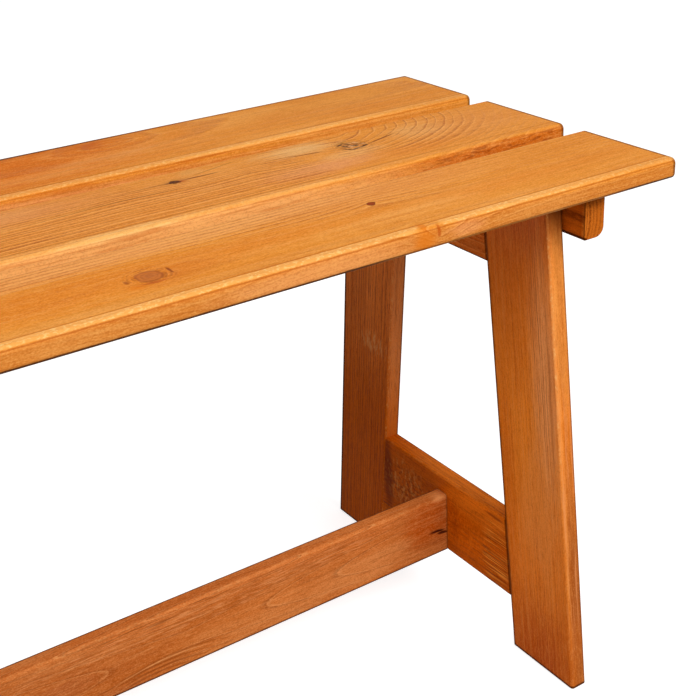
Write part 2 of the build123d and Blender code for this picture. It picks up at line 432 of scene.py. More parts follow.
seatSlatFront = dict(
    tone=honey, pith=(-0.02, -0.045), ringWidth=0.0033, wander=0.003, taper=0.003, contrast=0.8,
    lineWidth=0.55, uneven=1.2, fibre=0.22, fleck=0.28, mottle=0.25, rubbed=0.6, band=(0.0083, 0.0012),
    border=0.55, gather=0.0025, behind=0.15,
    knots=[
        dict(along=0.19, across=-0.0073, radius=0.0088, stretch=1.05, ragged=0.4, pull=3.0, reach=0.016,
             flow=(1.6, 1.6, 1.0, 1.0), core=knotBrown, coreShare=0.75, rim=burntRed, rimShare=0.45,
             rings=0.16, halo=0.4),
        dict(along=0.3685, across=0.0138, radius=0.0034, ragged=1.8, pull=1.5, reach=0.008,
             flow=(2.0, 2.5, 1.0, 1.0), core=srgb(136, 40, 4), coreShare=0.9, rim=srgb(96, 22, 0),
             rimShare=0.7),
        dict(along=0.379, across=-0.053, radius=0.004, stretch=1.1, ragged=0.6, pull=-3.4, reach=0.009,
             flow=(1.4, 3.4, 1.0, 1.0)),
        dict(along=0.205, across=-0.06, radius=0.004, stretch=1.1, ragged=0.6, pull=-4.5, reach=0.02,
             flow=(2.0, 2.6, 1.0, 1.0)),
    ],
    tints=[
        mark((0.12, 0.04, face), (0.34, 0.022, 0.02), 0.6, (0.5, 0.6), rosyDry),
        mark((0.38, 0.034, face), (0.16, 0.034, 0.02), 0.35, (0.5, 0.8), rosyDry),
        mark((0.1, -0.002, face), (0.34, 0.026, 0.012), 0.4, (0.7, 0.6), deepOrange),
        mark((0.45, -0.01, face), (0.16, 0.016, 0.012), 0.3, (0.9, 0.8), deepOrange),
        mark((0.2, -0.036, face), (0.34, 0.008, 0.006), 0.25, (0.6, 0.8), paleStraw),
        # Painted shade: the whole front face is darkened, as it gets less light than the top
        mark((0, -slatEdge, -0.001), (0.9, 0.003, 0.012), 0.9, (0.5, 0.4), srgb(214, 128, 52)),
        mark((0.402, -slatEdge, 0.001), (0.022, 0.006, 0.008), 0.8, (0.9, 0.8), srgb(236, 152, 88)),
        mark((0.29, -slatEdge, -0.001), (0.1, 0.004, 0.012), 0.75, (0.6, 0.8), srgb(248, 172, 104)),
    ],
    spots=[
        mark((0.205, -0.014, face), (0.034, 0.022, 0.006), 0.2, (1.0, 0.9), rustRed),
        mark((0.178, -0.02, face), (0.012, 0.006, 0.006), 0.6, (1.0, 0.9), deepOrange),
        mark((0.2045, -0.0055, face), (0.0014, 0.0065, 0.004), 0.75, (1.2, 0.6), burntRed),
        mark((0.1905, -0.0185, face), (0.01, 0.0016, 0.004), 0.6, (1.2, 0.6), rustRed, bend=12.0),
        mark((0.1745, -0.0085, face), (0.0024, 0.004, 0.004), 0.6, (1.2, 0.7), burntRed),
        mark((0.367, -slatEdge, -0.001), (0.013, 0.006, 0.012), 0.7, (0.9, 0.7), deepOrange),
        mark((0.3785, -0.0495, 0.0045), (0.0018, 0.006, 0.006), 0.7, (1.2, 0.6), rustRed),
        mark((0.368, -0.045, face), (0.004, 0.005, 0.003), 0.8, (1.2, 0.6), deepOrange),
        darkBackCorner,
        darkEnd,
    ],
    faded=[
        mark((0.1, -0.004, face), (0.32, 0.031, 0.012), 0.9, (0.4, 0.3)),
        mark((0.3, -0.031, face), (0.7, 0.017, 0.006), 0.85, (0.4, 0.4)),
        mark((0.2, 0.034, face), (0.045, 0.02, 0.006), 0.5, (0.6, 0.8)),
        mark((0.42, 0.034, face), (0.13, 0.034, 0.006), 0.5, (0.6, 0.8)),
        mark((0.52, 0, face), (0.15, 0.07, 0.012), 0.8, (0.5, 0.6)),
        mark((0.16, -slatEdge, 0), (0.25, 0.004, 0.014), 0.75, (0.4, 0.3)),
        mark((0.5, -slatEdge, 0), (0.16, 0.004, 0.014), 0.45, (0.4, 0.5)),
    ],
    strands=[
        mark((0.19, -0.0073, face), (0.009, 0.009, 0.004), 0.45, (0.4, 0.4), srgb(150, 80, 40),
             scale=(150, 260, 60)),
    ],
    thin=[mark((0.3, -slatEdge, 0), (0.5, 0.003, 0.012), 0.4, (0.3, 0.4))],
    kept=[
        mark((0.373, -0.048, 0.006), (0.014, 0.012, 0.01), 0.9, (0.8, 0.5)),
        mark((0.56, -0.048, 0.006), (0.11, 0.014, 0.01), 0.5, (0.8, 0.8)),
    ],
    unshaded=[mark((0.44, -slatEdge, -face), (0.13, 0.01, 0.01), 0.55, (0.5, 0.5))],
)

seatSlatMiddle = dict(
    tone=honey, pith=(0.082, -0.042), ringWidth=0.0035, wander=0.008, taper=0.002, contrast=0.9,
    lineWidth=0.58, uneven=2.2, fibre=0.22, fleck=0.28, mottle=0.25, rubbed=0.26, band=(0.01, 0.0012),
    border=0.3, gathered=0.2, gather=0.0024, behind=0.3,
    arcs=dict(start=0.4, turnAt=0.436, turnShare=0.66, pith=(0.056, -0.01), ringWidth=0.0058, wander=0.006,
              taper=0.0, uneven=1.4),
    knots=[
        dict(along=0.235, across=0.015, radius=0.004, ragged=0.6, pull=-1.6, reach=0.02,
             flow=(2.6, 2.6, 1.2, 1.4)),
        dict(along=0.34, across=0.01, radius=0.004, ragged=0.6, pull=-1.1, reach=0.014,
             flow=(1.5, 1.5, 1.0, 1.4)),
        dict(along=0.436, across=0.016, radius=0.01, ragged=1.6, pull=2.0, reach=0.012,
             flow=(1.2, 1.6, 1.2, 1.2), core=paleStraw, coreShare=0.15, rim=knotDark, rimShare=0.3,
             rings=0.2, halo=0.3),
        dict(along=0.284, across=0.0255, radius=0.0036, stretch=1.3, ragged=2.6, pull=0.6, reach=0.008,
             flow=(3.0, 3.0, 1.0, 1.0), core=charBlack, coreShare=0.8, rim=knotDark, rimShare=0.6),
    ],
    tints=[
        mark((0.395, 0.032, face), (0.05, 0.02, 0.006), 0.9, (1.0, 0.8), srgb(238, 184, 116)),
        mark((0.425, -0.002, face), (0.04, 0.014, 0.006), 0.7, (1.0, 0.8), srgb(236, 178, 110)),
        mark((0.5, 0.016, face), (0.04, 0.026, 0.006), 0.6, (1.0, 0.8), srgb(234, 176, 104)),
        mark((0.305, 0.038, face), (0.016, 0.009, 0.006), 0.6, (1.0, 0.8), paleStraw),
        mark((0.15, 0.03, face), (0.12, 0.024, 0.006), 0.8, (0.8, 0.9), srgb(230, 156, 98)),
        mark((0.47, -0.024, face), (0.05, 0.014, 0.006), 0.35, (1.0, 0.8), deepOrange),
        mark((0.54, 0.006, face), (0.09, 0.05, 0.006), 0.4, (0.8, 0.8), srgb(232, 158, 92)),
        mark((0.385, -0.018, face), (0.07, 0.022, 0.006), 0.65, (0.8, 0.8), srgb(232, 156, 108)),
        mark((0.2, 0, face), (0.3, 0.06, 0.006), 0.4, (0.6, 0.7), srgb(222, 134, 56)),
        # Painted light: the left part of the front face, which lies in the gap's shade, is painted paler
        mark((0.12, -slatEdge, 0), (0.4, 0.004, 0.014), 1.0, (0.5, 0.5), srgb(246, 176, 102)),
        mark((0.215, -0.0465, face), (0.06, 0.008, 0.006), 0.6, (0.6, 0.6), rubbedPale),
        mark((0.54, -slatEdge, 0), (0.14, 0.004, 0.012), 0.9, (0.8, 0.6), srgb(208, 102, 18)),
    ],
    spots=[
        mark((0.288, 0.026, face), (0.018, 0.008, 0.004), 0.5, (1.0, 0.8), srgb(176, 104, 44)),
        mark((0.304, 0.0252, face), (0.024, 0.0016, 0.004), 0.95, (1.0, 0.7), crackBrown),
        mark((0.264, 0.0255, face), (0.024, 0.0011, 0.004), 0.6, (1.0, 0.7), crackBrown),
        mark((0.29, 0.0235, face), (0.007, 0.004, 0.004), 0.6, (1.0, 0.8), rustRed),
        mark((0.322, 0.035, face), (0.032, 0.0009, 0.004), 0.4, (0.8, 0.6), knotDark, slope=0.26),
        mark((0.235, 0.011, face), (0.075, 0.0012, 0.004), 0.45, (0.8, 0.6), knotDark, bend=-1.2),
        mark((0.396, 0.0186, face), (0.02, 0.0014, 0.004), 0.85, (1.0, 0.6), crackBrown, slope=-0.14),
        mark((0.465, 0.0158, face), (0.02, 0.0014, 0.004), 0.85, (1.0, 0.6), crackBrown, slope=0.31),
        mark((0.436, 0.015, face), (0.013, 0.011, 0.004), 0.35, (1.0, 0.8), rustRed),
        *[mark((along, across, face), (length, width, 0.004), 1.0, (0.7, 0.6), charBlack, slope=slope)
          for along, across, length, width, slope in (
              (0.4344, 0.0203, 0.0032, 0.0040, -2.47), (0.4287, 0.0217, 0.0050, 0.0022, 0.52),
              (0.4301, 0.0151, 0.0030, 0.0036, -1.81), (0.4276, 0.0086, 0.0038, 0.0024, -1.10),
              (0.4378, 0.0128, 0.0040, 0.0022, 0.00), (0.4341, 0.0062, 0.0056, 0.0016, 0.24),
              (0.4428, 0.0084, 0.0066, 0.0018, 0.34))],
        mark((0.376, 0.0225, face), (0.02, 0.001, 0.004), 0.4, (0.9, 0.7), knotDark, slope=-0.05),
        darkBackCorner,
        darkEnd,
    ],
    strands=[
        mark((0.4375, 0.015, face), (0.012, 0.0115, 0.004), 0.4, (0.8, 0.5), srgb(252, 206, 150), bend=0.006,
             scale=(250, 330, 70)),
        mark((0.437, 0.018, face), (0.0125, 0.011, 0.004), 0.5, (0.8, 0.4), charBlack, bend=0.006,
             scale=(300, 300, 60)),
        mark((0.285, 0.0255, face), (0.008, 0.005, 0.004), 0.9, (0.8, 0.5), charBlack, bend=0.006,
             scale=(240, 300, 60)),
        mark((0.54, -slatEdge, 0), (0.13, 0.004, 0.012), 0.5, (0.8, 0.6), burntRed, bend=0.006,
             scale=(70, 420, 420)),
        mark((0.15, -slatEdge, 0), (0.3, 0.004, 0.014), 0.45, (0.4, 0.4), srgb(196, 104, 34),
             scale=(16, 60, 430)),
        mark((0.215, -0.0465, 0.007), (0.06, 0.008, 0.006), 0.55, (0.6, 0.8), rubbedPale,
             scale=(60, 300, 300)),
    ],
    faded=[
        mark((0.4, 0, face), (0.022, 0.09, 0.01), 1.0, (0.6, 0.6)),
        mark((0.425, -0.022, face), (0.05, 0.022, 0.006), 0.85, (0.6, 0.7)),
        mark((0.31, 0.036, face), (0.086, 0.024, 0.006), 0.75, (0.4, 0.5)),
        mark((0.1, 0.036, face), (0.18, 0.026, 0.006), 0.75, (0.4, 0.4)),
        mark((0.47, -0.04, face), (0.1, 0.026, 0.006), 0.75, (0.5, 0.7)),
        mark((0.58, -0.03, face), (0.08, 0.045, 0.01), 0.8, (0.5, 0.7)),
        mark((0.61, 0.02, face), (0.084, 0.07, 0.006), 0.95, (0.5, 0.6)),
        mark((0.15, -slatEdge, 0), (0.6, 0.003, 0.012), 0.9, (0.3, 0.3)),
    ],
    thin=[mark((0.48, 0.036, face), (0.17, 0.05, 0.01), 0.55, (0.2, 0.6))],
    kept=[mark((0.56, -0.048, 0.006), (0.17, 0.014, 0.01), 0.85, (0.8, 0.5))],
)

seatSlatBack = dict(
    tone=honey, pith=(0.02, -0.16), ringWidth=0.0036, wander=0.008, taper=0.01, contrast=0.35,
    lineWidth=0.55, fibre=0.2, fleck=0.28, mottle=0.35, rubbed=0.42, band=(0.0092, 0.0012), border=0.4,
    gathered=0.6,
    knots=[
        dict(along=0.29, across=0.03, radius=0.01, stretch=1.2, ragged=0.6, pull=4.0, reach=0.016,
             flow=(2.0, 2.0, 1.0, 1.0), core=deepOrange, coreShare=0.2, rim=rustRed, rimShare=0.15,
             rings=0.1),
    ],
    tints=[
        mark((0, 0, 0), (0.6, 0.09, 0.02), 0.3, (0.8, 0.6), deepOrange),
        # Painted light: the left part of the front face, which lies in the gap's shade, is painted paler
        mark((0.12, -slatEdge, -0.004), (0.4, 0.004, 0.01), 0.9, (0.5, 0.6), srgb(240, 158, 92)),
        mark((0.18, 0.01, face), (0.2, 0.08, 0.01), 0.95, (0.8, 0.8), srgb(220, 108, 0)),
        mark((0.48, 0.01, face), (0.14, 0.04, 0.006), 0.15, (0.9, 0.9), paleStraw),
    ],
    spots=[
        mark((0.275, 0.034, face), (0.016, 0.016, 0.006), 0.5, (1.2, 0.9), rustRed),
        mark((0.265, 0.038, face), (0.06, 0.014, 0.006), 0.5, (1.2, 0.9), srgb(200, 96, 16)),
        mark((0.345, 0.046, face), (0.05, 0.006, 0.006), 0.4, (1.2, 0.9), rustRed),
        # Painted shade along the back slat's back top edge
        mark((0, 0.0468, face), (2.0, 0.0046, 0.01), 0.5, (0.5, 0.5), shadeAndEdgeBrown),
        mark((0.1, 0.0468, face), (0.3, 0.0054, 0.01), 0.7, (0.5, 0.5), shadeAndEdgeBrown),
        darkEnd,
    ],
    strands=[
        mark((0.15, -slatEdge, 0), (0.46, 0.004, 0.014), 0.45, (0.4, 0.4), srgb(196, 96, 26),
             scale=(16, 60, 430)),
    ],
    faded=[mark((0.4, -0.02, face), (0.5, 0.03, 0.006), 0.6, (0.5, 0.7))],
    kept=[mark((0.56, -0.048, 0.006), (0.11, 0.014, 0.01), 0.5, (0.8, 0.8))],
)

batten = dict(
    tone=russet, endShare=0.1, pith=(0.0, -0.05), ringWidth=0.0036, wander=0.004, taper=0.0, contrast=0.9,
    fleck=0.3, paleCorner=(1, -1), rubbed=0.1,
    tints=[
        mark((-0.157, 0, 0), (0.004, 0.06, 0.06), 0.8, (0.2, 0.4), srgb(222, 126, 42)),
        mark((-0.143, 0, -0.01), (0.013, 0.03, 0.008), 0.7, (0.4, 0.6), srgb(232, 122, 30)),
    ],
    # Painted shadow of the seat over the top of the batten's front end
    spots=[mark((-0.157, 0.018, 0), (0.06, 0.015, 0.03), 0.65, (0.6, 0.8), shadeAndEdgeBrown)],
)

legFront = dict(
    tone=amber, pith=(0.1, -0.03), ringWidth=0.003, wander=0.004, taper=0.001, contrast=0.45, fleck=0.26,
    rubbed=0.36, band=(0.0016, 0.0016), gathered=0.45, foot=True,
    tints=[
        mark((0.03, 0, face), (0.15, 0.09, 0.006), 0.7, (0.6, 0.8), srgb(255, 146, 40)),
        mark((0.06, -0.026, face), (0.17, 0.024, 0.006), 0.9, (0.8, 0.9), srgb(255, 172, 104)),
        mark((-0.08, 0.03, face), (0.22, 0.018, 0.006), 0.7, (0.8, 0.8), srgb(236, 120, 14)),
        # Painted shade under the seat: the top of the leg's face is darker
        mark((0.2, 0, face), (0.06, 0.09, 0.006), 0.8, (0.6, 0.9), srgb(194, 100, 56)),
        mark((-0.22, 0, face), (0.1, 0.09, 0.006), 0.9, (0.6, 0.9), srgb(182, 68, 6)),
        # Painted light and shade on the front edge face: darker toward the foot, paler higher up
        mark((-0.16, -0.04, -0.001), (0.22, 0.007, 0.012), 0.9, (0.4, 0.7), srgb(154, 80, 34)),
        mark((0.12, -0.04, -0.001), (0.12, 0.007, 0.012), 0.7, (0.4, 0.6), srgb(242, 160, 76)),
    ],
    spots=[
        # Painted shadow of the seat on the top of the front edge face
        mark((0.215, -frameEdge, -0.001), (0.056, 0.005, 0.03), 0.9, (0.3, 0.9), srgb(92, 40, 12)),
        # Painted shade: a dark line along the back edge of the leg's face, where it meets the parts behind
        mark((0, frameEdge, face), (2.0, 0.0052, 0.01), 0.65, (0.5, 0.4), shadeAndEdgeBrown),
    ],
    strands=[
        mark((0.06, -0.022, face), (0.17, 0.016, 0.006), 0.55, (0.6, 0.7), srgb(150, 72, 24),
             scale=(8, 520, 60)),
        mark((-0.06, -frameEdge, 0), (0.16, 0.004, 0.02), 0.5, (0.6, 0.7), srgb(236, 150, 90),
             scale=(8, 60, 560)),
    ],
    faded=[mark((0, 0.02, face), (0.3, 0.03, 0.006), 0.4, (0.5, 0.6))],
    kept=[mark((-0.16, -frameEdge, face), (0.25, 0.012, 0.01), 0.85, (0.8, 0.6))],
)

legBack = dict(
    tone=russet, pith=(0.1, -0.03), ringWidth=0.0036, wander=0.004, taper=0.001, contrast=0.7, fibre=0.35,
    fleck=0.26, rubbed=0.15, band=(0.0018, 0.0018), gathered=0.6, gather=0.0028, foot=True,
    tints=[
        # Painted light and shade: the leg is paler toward the top and darker lower down, under the seat
        mark((0.14, 0, 0), (0.24, 0.12, 0.03), 1.0, (0.3, 0.8), srgb(255, 150, 72)),
        mark((0.12, -0.04, 0), (0.26, 0.005, 0.03), 0.9, (0.4, 0.5), srgb(208, 122, 66)),
        mark((-0.14, -0.04, 0), (0.12, 0.005, 0.03), 0.9, (0.4, 0.6), srgb(196, 98, 30)),
    ],
    # Painted shade: a dark line along the back edge of the leg's face, where it meets the parts behind
    spots=[mark((0, frameEdge, face), (2.0, 0.0056, 0.01), 0.9, (0.5, 0.4), shadeAndEdgeBrown)],
    strands=[
        mark((0.008, -0.015, face), (0.015, 0.028, 0.006), 0.85, (0.8, 0.6), srgb(214, 144, 84),
             scale=(130, 420, 60)),
    ],
    faded=[mark((0, -0.04, 0), (0.6, 0.005, 0.03), 0.8, (0.2, 0.3))],
)

topRail = dict(
    tone=amber, pith=(0.02, -0.05), ringWidth=0.0036, wander=0.006, taper=0.003, contrast=0.8, fleck=0.3,
    paleCorner=(1, -1), rubbed=0.1, gather=0.002,
    tints=[mark((0, 0, 0), (0.4, 0.2, 0.1), 0.8, (0.2, 0.4), srgb(206, 98, 16))],
)

lowerRail = dict(
    tone=russet, pith=(0.02, -0.05), ringWidth=0.004, wander=0.008, taper=0.003, contrast=0.4, fibre=0.32,
    fleck=0.32, mottle=0.3, paleCorner=(1, -1), rubbed=0.05, gather=0.002,
    tints=[
        mark((-0.05, 0.004, -face), (0.06, 0.056, 0.006), 0.9, (0.5, 0.6), srgb(226, 104, 0)),
        mark((-0.055, 0.026, -face), (0.07, 0.018, 0.006), 0.9, (0.6, 0.7), srgb(250, 128, 28)),
        mark((-0.02, frameEdge, 0), (0.1, 0.005, 0.014), 0.85, (0.4, 0.6), srgb(236, 128, 40)),
    ],
    spots=[
        mark((0.086, 0, -face), (0.011, 0.06, 0.006), 0.8, (0.6, 0.7), srgb(104, 34, 2)),
        mark((0.045, -0.02, -face), (0.03, 0.018, 0.006), 0.4, (1.0, 0.9), burntRed),
        mark((-0.02, -0.004, -face), (0.008, 0.04, 0.006), 0.3, (1.0, 0.9), burntRed),
        mark((-0.076, 0.033, -face), (0.016, 0.0026, 0.006), 0.7, (1.0, 0.7), burntRed),
    ],
    strands=[
        mark((-0.078, -0.004, -face), (0.024, 0.044, 0.01), 0.85, (0.5, 0.5), srgb(242, 148, 52), bend=0.001,
             scale=(26, 760, 60)),
        mark((-0.077, -0.01, -face), (0.024, 0.04, 0.01), 0.7, (0.4, 0.5), srgb(116, 40, 2), bend=0.001,
             scale=(24, 820, 90)),
        mark((0.058, 0, -face), (0.04, 0.036, 0.01), 0.55, (0.8, 0.6), srgb(206, 134, 70),
             scale=(330, 140, 60)),
        mark((0.045, -0.01, -face), (0.05, 0.036, 0.01), 0.5, (0.8, 0.6), srgb(190, 112, 40), bend=0.006,
             scale=(420, 260, 60)),
        mark((0.05, -0.004, -face), (0.05, 0.04, 0.01), 0.5, (0.8, 0.6), srgb(84, 30, 2), bend=0.006,
             scale=(300, 300, 90)),
        mark((-0.03, 0, -face), (0.06, 0.04, 0.01), 0.3, (0.8, 0.6), srgb(236, 122, 24), bend=0.006,
             scale=(420, 200, 60)),
    ],
)

stretcher = dict(
    tone=cinnamon, pith=(-0.0035, -0.0176), ringWidth=-0.0044, wander=0.0012, taper=-0.0625, contrast=0.75,
    lineWidth=0.13, crest=0.24, firstYear=0.76, uneven=0.0, fibre=0.28, fleck=0.3, mottle=0.35,
    paleCorner=(1, 1), rubbed=0.12, band=(0.0022, 0.0022), gathered=0.8, gather=0.0028,
    faded=[mark((0.49, 0, face), (0.06, 0.06, 0.01), 0.7, (0.6, 0.5))],
    tints=[
        mark((0.484, 0.01, face), (0.034, 0.034, 0.01), 0.95, (0.8, 0.7), srgb(198, 84, 0)),
        mark((0.325, 0, face), (0.034, 0.016, 0.006), 0.6, (0.8, 0.8), srgb(228, 132, 62)),
        mark((0.13, -0.004, face), (0.04, 0.014, 0.006), 0.6, (0.8, 0.8), srgb(190, 118, 78)),
        mark((0.28, 0.024, face), (0.26, 0.012, 0.006), 0.55, (0.8, 0.7), srgb(226, 128, 62)),
        mark((0.15, -0.028, face), (0.08, 0.012, 0.006), 0.6, (0.8, 0.8), srgb(178, 98, 56)),
        mark((0.17, -0.004, face), (0.07, 0.01, 0.006), 0.5, (0.8, 0.8), srgb(196, 104, 44)),
        mark((0.1, 0, face), (0.16, 0.05, 0.01), 0.6, (0.8, 0.8), srgb(186, 94, 38)),
    ],
    spots=[
        mark((0.496, -0.0046, face), (0.012, 0.0022, 0.004), 0.95, (1.4, 0.6), pitchRed, slope=-0.12),
        mark((0.502, -0.008, face), (0.009, 0.002, 0.004), 0.9, (1.4, 0.6), pitchRed, slope=-0.15),
        mark((0.222, -0.012, face), (0.066, 0.0012, 0.004), 0.5, (0.9, 0.6), arcBrown, bend=-2.6),
        mark((0.219, -0.0138, face), (0.06, 0.001, 0.004), 0.4, (0.9, 0.6), rosyDry, bend=-2.8),
        mark((0.216, -0.016, face), (0.056, 0.0012, 0.004), 0.6, (0.9, 0.6), arcBrown, bend=-3.0),
        mark((0.212, -0.0198, face), (0.05, 0.0012, 0.004), 0.6, (0.9, 0.6), arcBrown, bend=-3.2),
        mark((0.208, -0.0236, face), (0.046, 0.0012, 0.004), 0.6, (0.9, 0.6), arcBrown, bend=-3.4),
        mark((0.5, 0.029, 0.005), (0.012, 0.004, 0.01), 0.5, (0.8, 0.7), rosyDry),
        mark((0.508, 0, 0.004), (0.0014, 0.06, 0.02), 0.6, (0.3, 0.5), shadeAndEdgeBrown),
    ],
    strands=[
        mark((0.27, 0.017, face), (0.24, 0.013, 0.006), 0.42, (0.8, 0.5), srgb(240, 160, 98),
             scale=(64, 760, 60), bend=0.0015),
        mark((0.27, 0.017, face), (0.24, 0.013, 0.006), 0.4, (0.8, 0.5), srgb(150, 72, 22),
             scale=(44, 820, 80), bend=0.0015),
        mark((0.23, 0.026, face), (0.12, 0.006, 0.006), 0.7, (0.8, 0.6), srgb(130, 62, 16), bend=0.001,
             scale=(24, 760, 80)),
        mark((0.21, -0.02, face), (0.06, 0.008, 0.006), 0.5, (0.6, 0.7), srgb(146, 68, 20),
             scale=(20, 480, 80)),
    ],
)

boards = dict(
    seat_slat_front=seatSlatFront, seat_slat_middle=seatSlatMiddle, seat_slat_back=seatSlatBack,
    batten=batten, leg_front=legFront, leg_back=legBack, top_rail=topRail, lower_rail=lowerRail,
    stretcher=stretcher,
)

# Pairs are where a rise starts and ends, and the foot line's next pair is how strong it gets
varnish = dict(
    roughness=0.5, lineRoughness=-0.1, endRoughness=0.2, specular=0.015, lineRelief=0.6, fibreRelief=0.4,
    reliefStrength=0.6, reliefDepth=0.0003, endGrain=(0.85, 0.97), easedEnd=(0.1, 0.4), easedShare=0.75,
    footLine=(0.0040, 0.0024, 0.0, 0.85),
)
treeStep = 1.7  # metres in the tree between one board and the next


def boardAxes(node):
    # Directions of the grain and of the board's width
    if node.startswith("seat_slat"):
        return Vector((1, 0, 0)), Vector((0, 1, 0))
    if node == "stretcher":
        return Vector((1, 0, 0)), Vector((0, 0, 1))
    if node.startswith("leg"):
        side = 1 if "front" in node else -1
        rise, lean = math.cos(legLean), side * math.sin(legLean)
        return Vector((0, lean, rise)), Vector((0, rise, -lean))
    return Vector((0, 1, 0)), Vector((0, 0, 1))


def halfSizes(node, grain, across):
    low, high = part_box(node)
    size = Vector(high) - Vector(low)
    if node.startswith("leg"):
        level = size.y - size.z * math.tan(legLean)
        return level * math.cos(legLean) / 2, size.x / 2
    through = grain.cross(across)
    return abs(size.dot(across)) / 2, abs(size.dot(through)) / 2


def boardMaterial(node, board, shift):
    material = bpy.data.materials.new("wood_" + node)
    tree = emptyTree(material)
    grain, across = boardAxes(node)
    halfWidth, halfThickness = halfSizes(node, grain, across)
    low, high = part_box(node)
    tone = board["tone"]

    coords = newNode(tree, "TexCoord")
    inBoard = newNode(tree, "Mapping", vector_type="TEXTURE")
    inBoard.inputs["Location"].default_value = (Vector(low) + Vector(high)) / 2
    lie = Matrix((grain, across, grain.cross(across))).transposed()
    inBoard.inputs["Rotation"].default_value = lie.to_euler()
    feed(tree, inBoard.inputs["Vector"], coords.outputs["Object"])
    vector = inBoard.outputs[0]
    grown = vectorCalc(tree, "ADD", vector, (shift, 0, 0))  # each board is cut from another part of the tree

    def ageOf(rings):
        pithAcross, pithDepth = rings["pith"]
        return place(tree, ringGroup, Vector=grown, Pith_Across=pithAcross, Pith_Depth=pithDepth,
                     Ring_Width=rings["ringWidth"], Wander=rings["wander"], Taper=rings["taper"],
                     Crest=rings["crest"] + shift, Turn_At=rings["turnAt"] + shift, Uneven=rings["uneven"],
                     Turn_Share=rings["turnShare"], First_Year=rings["firstYear"])["Age"]

    age = ageOf(board)
    if "arcs" in board:  # past a place along the board the growth lines run in arcs
        past = calc(tree, "GREATER_THAN", split(tree, vector)[0], board["arcs"]["start"])
        arcs = ageOf({**board, **board["arcs"]})
        age = calc(tree, "MULTIPLY_ADD", past, less(tree, arcs, age), age)
    flows = []
    for knot in board["knots"]:
        left, right, up, down = knot["flow"]
        flow = place(tree, knotGroup, Vector=vector, Age=age, Along=knot["along"], Across=knot["across"],
                     Radius=knot["radius"], Stretch=knot.get("stretch", 1.0), Ragged=knot["ragged"],
                     Pull=knot["pull"], Reach=knot["reach"], Flow_Left=left, Flow_Right=right, Flow_Up=up,
                     Flow_Down=down)
        age = flow["Age"]
        flows.append(flow)
    rough = noise(tree, vector, *waves["markEdge"])

    def maskOf(spot):
        mask = place(tree, spotGroup, Vector=vector, Rough=rough, Centre=spot["at"], Half_Size=spot["half"],
                     Slope=spot.get("slope", 0.0), Bend=spot.get("bend", 0.0), Ragged=spot["ragged"],
                     Softness=spot["soft"])["Mask"]
        return times(tree, mask, spot["share"])

    def lessened(share, places):
        for spot in places:
            share = times(tree, less(tree, 1.0, maskOf(spot)), share)
        return share

    contrast = lessened(board["contrast"], board["faded"])
    lineWidth = lessened(board["lineWidth"], board["thin"])
    early = tone["early"]
    for tint in board["tints"]:
        early = blend(tree, maskOf(tint), early, tint["tone"])
    finish = place(tree, finishGroup, Vector=grown, Age=age, Early=early, Late=tone["late"],
                   Soaked=tone["soaked"], Dry=tone["dry"], Contrast=contrast, Line_Width=lineWidth,
                   Fibre=board["fibre"], Fleck=board["fleck"], Mottle=board["mottle"])
    color = finish["Color"]
    for spot in board["spots"]:
        color = blend(tree, maskOf(spot), color, spot["tone"])
    for knot, flow in zip(board["knots"], flows):
        if "core" not in knot:
            continue
        if "halo" in knot:
            color = stained(tree, color, knot["rim"], flow["Halo"], knot["halo"])
        color = stained(tree, color, knot["core"], flow["Core"], knot["coreShare"])
        ringed = times(tree, flow["Core"], flow["Rings"])
        color = stained(tree, color, knot["rim"], ringed, knot.get("rings", 0.0))
        color = stained(tree, color, knot["rim"], flow["Rim"], knot["rimShare"])
    for strand in board["strands"]:
        torn = place(tree, strandGroup, Vector=vector, Scale=strand["scale"], Bend=strand.get("bend", 0.003))
        color = stained(tree, color, strand["tone"], torn["Mask"], maskOf(strand))

    acrossSide, throughSide = board["paleCorner"]
    bandAcross, bandThrough = board["band"]
    arris = place(tree, arrisGroup, Vector=vector, Rough=rough, Half_Width=halfWidth,
                  Half_Thickness=halfThickness, Across_Side=acrossSide, Through_Side=throughSide,
                  Band_Across=bandAcross, Band_Through=bandThrough, Gather=board["gather"],
                  Behind=board["behind"])
    rubbed = lessened(board["rubbed"], board["kept"])
    # The pale corner's rubbing and specks are wear; the darkening of the corners beside it is painted shade
    gathered = lessened(board["gathered"], board["unshaded"])
    for part, share, worn in (("Pale", rubbed, tone["dry"]), ("Specks", rubbed, rubbedPale),
                              ("Border", board["border"], tone["late"]),
                              ("Gathered", gathered, shadeAndEdgeBrown)):
        color = stained(tree, color, worn, arris[part], share)

    steep = vectorCalc(tree, "DOT_PRODUCT", coords.outputs["Normal"], grain, output="Value")
    steep = calc(tree, "ABSOLUTE", steep)
    endGrain = ramp(tree, steep, *varnish["endGrain"])
    easedEnd = times(tree, ramp(tree, steep, *varnish["easedEnd"]), varnish["easedShare"])
    color = stained(tree, color, shadeAndEdgeBrown, easedEnd, less(tree, 1.0, endGrain))
    color = stained(tree, color, tone["late"], endGrain, board["endShare"])
    if board["foot"]:
        height = split(tree, coords.outputs["Object"])[2]
        color = blend(tree, ramp(tree, height, *varnish["footLine"]), color, shadeAndEdgeBrown)

    roughness = calc(tree, "MULTIPLY_ADD", finish["Lines"], varnish["lineRoughness"], varnish["roughness"])
    roughness = calc(tree, "MULTIPLY_ADD", endGrain, varnish["endRoughness"], roughness)
    relief = times(tree, finish["Fibres"], varnish["fibreRelief"])
    relief = calc(tree, "MULTIPLY_ADD", finish["Lines"], varnish["lineRelief"], relief)
    bump = newNode(tree, "Bump")
    bump.inputs["Strength"].default_value = varnish["reliefStrength"]
    bump.inputs["Distance"].default_value = varnish["reliefDepth"]
    feed(tree, bump.inputs["Height"], relief)

